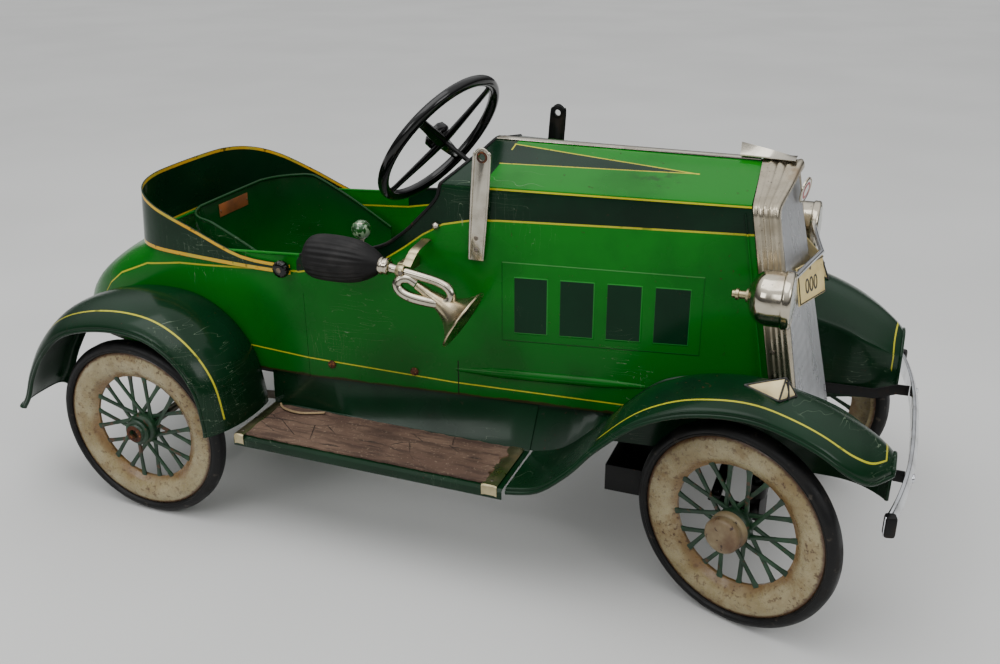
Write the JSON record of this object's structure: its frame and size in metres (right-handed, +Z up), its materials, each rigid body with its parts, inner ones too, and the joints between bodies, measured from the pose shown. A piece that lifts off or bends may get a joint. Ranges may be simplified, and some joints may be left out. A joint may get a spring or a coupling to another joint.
{
  "type": "pedal car",
  "caption": "Pressed-steel open pedal roadster with spoked wheels that steer, working pedals and cranked rear axle, plated radiator, bumper, horn and full fenders.",
  "frame": {"origin": "on the floor under the middle of the car's overall length and width", "axes": "+X forwards, +Y to the driver's left, +Z up"},
  "size_m": [1.1614, 0.524, 0.5602],
  "materials": {
    "body_green": "gloss",
    "trim_green": "gloss",
    "chassis_black": "satin",
    "gloss_black": "gloss",
    "wheel_cream": "satin, rust-speckled",
    "nickel": "worn nickel plate",
    "chrome": "bright",
    "steel": "dull",
    "tyre_rubber": "matte",
    "mat_rubber": "cracked matte",
    "bulb_rubber": "ribbed matte",
    "lens_glass": "clear",
    "plate_yellow": "satin"
  },
  "bodies": {
    "car": {"band_knob_left": "gloss_black", "band_knob_right": "gloss_black", "bumper_bar": "chrome", "bumper_bracket_left": "chassis_black", "bumper_bracket_right": "chassis_black", "chassis_rail_left": "chassis_black", "chassis_rail_right": "chassis_black", "cockpit_band": "trim_green", "column_bracket": "chassis_black", "fender_lamp_left": "plate_yellow", "fender_lamp_right": "plate_yellow", "front_axle": "chassis_black", "front_body": "body_green", "front_fender_left": "trim_green", "front_fender_right": "trim_green", "headlamp_left": "nickel", "headlamp_lens_left": "lens_glass", "headlamp_lens_right": "lens_glass", "headlamp_right": "nickel", "hood_strip": "nickel", "horn": "nickel", "horn_bracket": "nickel", "horn_bulb": "bulb_rubber", "lamp_bar": "chrome", "number_plate": "plate_yellow", "pedal_hanger": "chassis_black", "radiator_grille": "chrome", "radiator_shell": "nickel", "radiator_wing": "nickel", "rear_body": "body_green", "rear_fender_left": "trim_green", "rear_fender_right": "trim_green", "running_board_left": "trim_green", "running_board_right": "trim_green", "seat": "body_green", "step_mat_left": "mat_rubber", "step_mat_right": "mat_rubber", "windshield_post_left": "chassis_black", "windshield_post_right": "nickel"},
    "crank_axle": {"rear_axle": "steel", "rear_wheel_left": "wheel_cream", "rear_wheel_right": "wheel_cream", "rear_tyre_left": "tyre_rubber", "rear_tyre_right": "tyre_rubber"},
    "steering": {"steering_column": "chassis_black", "steering_wheel": "gloss_black"},
    "track_rod": {"tie_rod": "steel"},
    "lever": {"gear_lever": "nickel"},
    "front_wheel_set_left": {"front_wheel_left": "wheel_cream", "front_tyre_left": "tyre_rubber", "hub_cap_left": "wheel_cream"},
    "knuckle_left": {"steering_knuckle_left": "steel"},
    "pedal_arm_left": {"pedal_left": "chassis_black"},
    "push_bar_left": {"push_rod_left": "steel"},
    "front_wheel_set_right": {"front_wheel_right": "wheel_cream", "front_tyre_right": "tyre_rubber", "hub_cap_right": "wheel_cream"},
    "knuckle_right": {"steering_knuckle_right": "steel"},
    "pedal_arm_right": {"pedal_right": "chassis_black"},
    "push_bar_right": {"push_rod_right": "steel"}
  },
  "joints": [
    {"name": "steer_right", "type": "hinge", "parent": "car", "child": "knuckle_right", "pos_m": [0.41675, -0.1455, 0.1225], "axis": [0, 0, 1], "range_deg": [-4.5, 42.5]},
    {"name": "steer_left", "type": "hinge", "parent": "car", "child": "knuckle_left", "pos_m": [0.41675, 0.1455, 0.1225], "axis": [0, 0, 1], "range_deg": [-4.5, 42.5]},
    {"name": "tie_rod_swing", "type": "hinge", "parent": "knuckle_right", "child": "track_rod", "pos_m": [0.36962, -0.12881, 0.1225], "axis": [0, 0, 1], "range_deg": [-42.5, 4.5]},
    {"name": "steering_turn", "type": "hinge", "parent": "car", "child": "steering", "pos_m": [-0.03145, 0, 0.4799], "axis": [-0.829, 0, 0.5592], "range_deg": [-4.5, 42.5]},
    {"name": "front_wheel_spin_left", "type": "hinge", "parent": "knuckle_left", "child": "front_wheel_set_left", "pos_m": [0.43261, 0.19028, 0.1225], "axis": [0.3338, 0.9426, 0], "continuous": true},
    {"name": "front_wheel_spin_right", "type": "hinge", "parent": "knuckle_right", "child": "front_wheel_set_right", "pos_m": [0.40089, -0.19028, 0.1225], "axis": [0.3338, 0.9426, 0], "continuous": true},
    {"name": "rear_axle_spin", "type": "hinge", "parent": "car", "child": "crank_axle", "pos_m": [-0.35875, 0, 0.1225], "axis": [0, 1, 0], "continuous": true},
    {"name": "push_rod_turn_left", "type": "hinge", "parent": "crank_axle", "child": "push_bar_left", "pos_m": [-0.35875, 0.056, 0.1545], "axis": [0, 1, 0], "continuous": true},
    {"name": "push_rod_turn_right", "type": "hinge", "parent": "crank_axle", "child": "push_bar_right", "pos_m": [-0.35875, -0.056, 0.0905], "axis": [0, 1, 0], "continuous": true},
    {"name": "pedal_swing_left", "type": "hinge", "parent": "car", "child": "pedal_arm_left", "pos_m": [0.24125, 0.062, 0.2505], "axis": [0, 1, 0], "range_deg": [-18, 18]},
    {"name": "pedal_swing_right", "type": "hinge", "parent": "car", "child": "pedal_arm_right", "pos_m": [0.24125, -0.062, 0.2505], "axis": [0, 1, 0], "range_deg": [-18, 18]},
    {"name": "lever_tilt", "type": "hinge", "parent": "car", "child": "lever", "pos_m": [-0.12375, -0.079, 0.1655], "axis": [0, 1, 0], "range_deg": [-12, 12]}
  ],
  "couplings": [
    {"joint": "steer_left", "follows": "steer_right", "ratio": 1},
    {"joint": "tie_rod_swing", "follows": "steer_right", "ratio": -1},
    {"joint": "steering_turn", "follows": "steer_right", "ratio": 1},
    {"joint": "push_rod_turn_left", "follows": "rear_axle_spin", "ratio": -1},
    {"joint": "push_rod_turn_right", "follows": "rear_axle_spin", "ratio": -1},
    {"joint": "pedal_swing_left", "follows": "pedal_swing_right", "ratio": -1}
  ]
}
